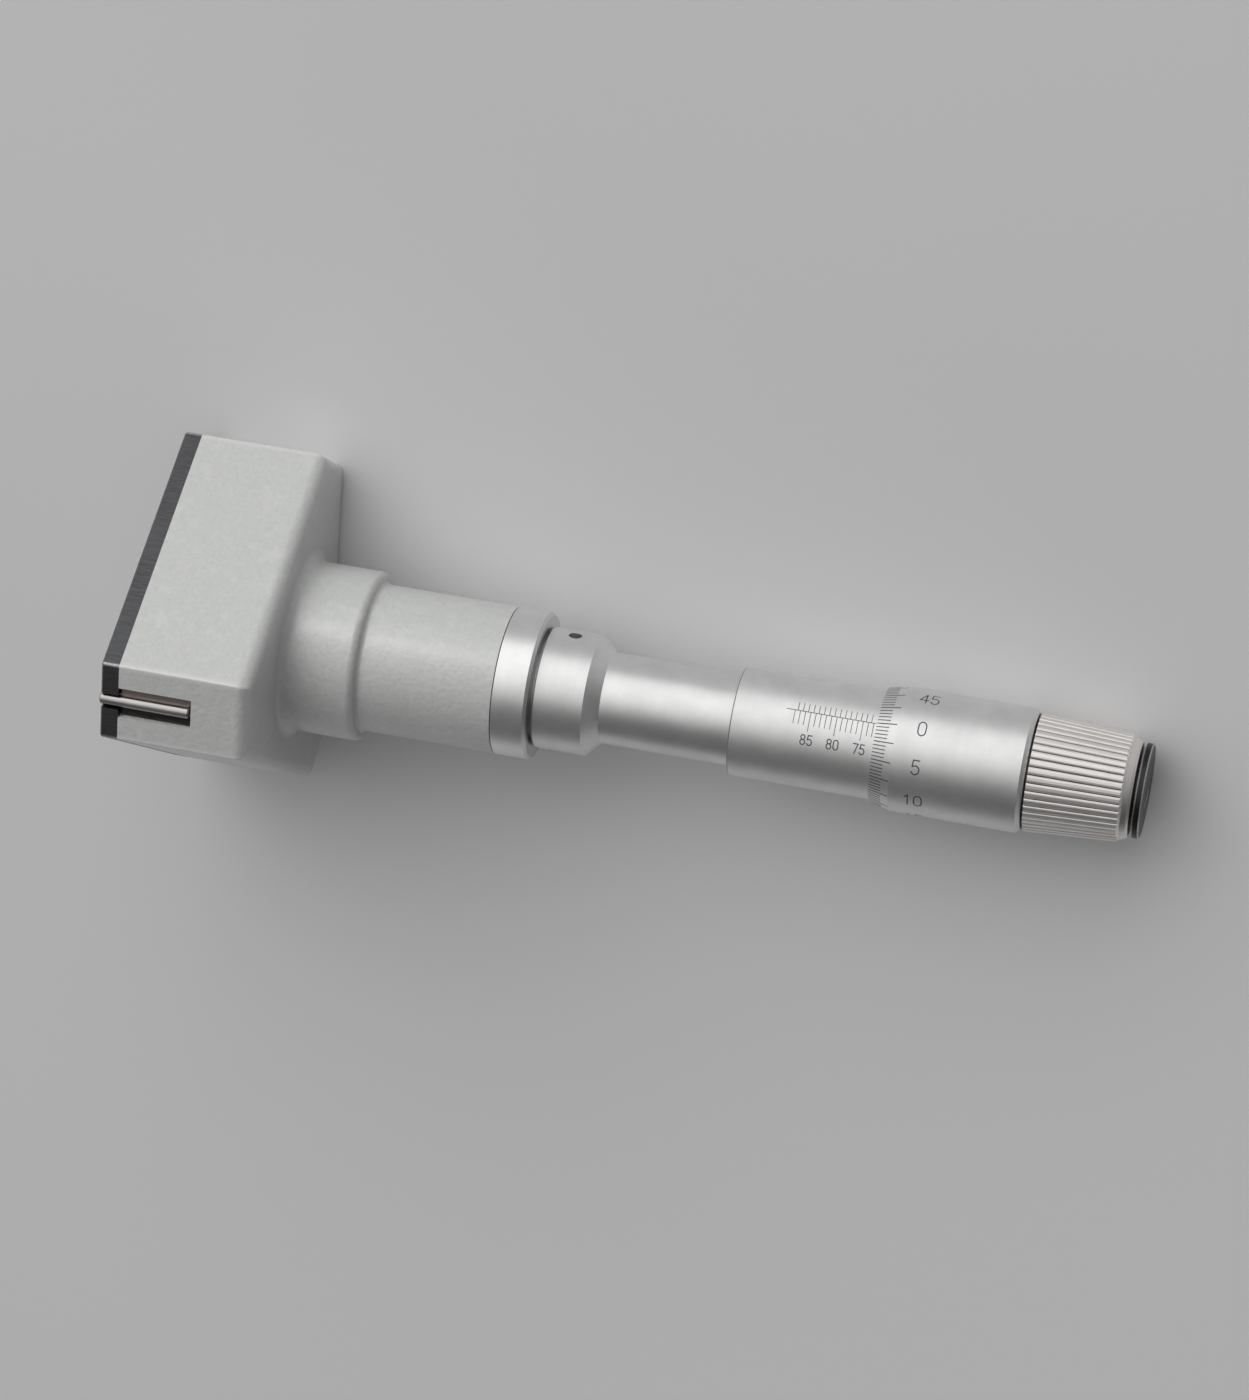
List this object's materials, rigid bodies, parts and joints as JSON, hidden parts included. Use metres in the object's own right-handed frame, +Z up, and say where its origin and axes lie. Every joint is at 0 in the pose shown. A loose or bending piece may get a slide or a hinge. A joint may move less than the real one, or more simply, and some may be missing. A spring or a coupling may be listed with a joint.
{
  "type": "three-point micrometer",
  "caption": "Internal micrometer with a truncated-triangle head carrying radial contacts, a painted neck, a graduated sleeve and thimble, and a fluted ratchet knob.",
  "frame": {"origin": "on the floor under the middle of the tool as it lies, on the rounded rear edge of one of the head's flats and the end of the knob", "axes": "+X from the head to the knob along the floor, +Z up, +Y to the side; the tool's own axis slopes down by about 5.1 degrees towards the knob"},
  "size_m": [0.1946, 0.07, 0.063],
  "materials": {
    "cast_paint": "light grey-green hammered paint",
    "cover_black": "black, satin",
    "screw_steel": "blackened steel",
    "slide_steel": "milled, brownish",
    "carbide": "ground carbide, smooth",
    "ring_chrome": "satin chrome",
    "barrel_chrome": "satin chrome",
    "sleeve_chrome": "satin chrome, engraved scale",
    "thimble_chrome": "satin chrome, engraved scale",
    "knob_nickel": "bright nickel, fluted",
    "cap_steel": "blackened steel, bright edges",
    "cap_screw": "blackened steel",
    "inner_steel": "hardened and ground",
    "bronze": "bronze, machined",
    "spring_steel": "spring wire"
  },
  "bodies": {
    "head": {"head_housing": "cast_paint", "front_cover": "cover_black", "cover_screws": "screw_steel", "guide_bush": "bronze", "coupling_ring": "ring_chrome", "barrel": "barrel_chrome", "graduated_sleeve": "sleeve_chrome", "adjusting_nut": "inner_steel", "return_spring_1": "spring_steel", "return_spring_2": "spring_steel", "return_spring_3": "spring_steel"},
    "cone": {"expansion_cone": "inner_steel", "thrust_ball": "inner_steel"},
    "contact_1": {"contact_slide_1": "slide_steel", "contact_rod_1": "carbide"},
    "contact_2": {"contact_slide_2": "slide_steel", "contact_rod_2": "carbide"},
    "contact_3": {"contact_slide_3": "slide_steel", "contact_rod_3": "carbide"},
    "thimble": {"spindle": "inner_steel", "thimble": "thimble_chrome", "ratchet_body": "inner_steel", "end_cap": "cap_steel", "end_screw": "cap_screw"},
    "knob": {"knob": "knob_nickel", "ratchet_ring": "inner_steel", "ratchet_spring": "spring_steel"}
  },
  "joints": [
    {"name": "cone_travel", "type": "slide", "parent": "head", "child": "cone", "axis": [-0.9961, 0, 0.0886], "range_m": [0, 0.0155]},
    {"name": "thimble_turn", "type": "hinge", "parent": "cone", "child": "thimble", "pos_m": [0.06021, 0, 0.01307], "axis": [-0.9961, 0, 0.0886], "range_deg": [0, 11160.5]},
    {"name": "knob_turn", "type": "hinge", "parent": "thimble", "child": "knob", "pos_m": [0.08412, 0, 0.01094], "axis": [-0.9961, 0, 0.0886], "continuous": true},
    {"name": "contact_travel_1", "type": "slide", "parent": "head", "child": "contact_1", "axis": [0.0886, 0, 0.9961], "range_m": [0, 0.00776], "deforming": ["return_spring_1"]},
    {"name": "contact_travel_2", "type": "slide", "parent": "head", "child": "contact_2", "axis": [-0.0443, -0.866, -0.498], "range_m": [0, 0.00776], "deforming": ["return_spring_2"]},
    {"name": "contact_travel_3", "type": "slide", "parent": "head", "child": "contact_3", "axis": [-0.0443, 0.866, -0.498], "range_m": [0, 0.00776], "deforming": ["return_spring_3"]}
  ],
  "couplings": [
    {"joint": "thimble_turn", "follows": "cone_travel", "rad_per_m": 12566},
    {"joint": "contact_travel_1", "follows": "cone_travel", "ratio": 0.5},
    {"joint": "contact_travel_2", "follows": "cone_travel", "ratio": 0.5},
    {"joint": "contact_travel_3", "follows": "cone_travel", "ratio": 0.5}
  ]
}
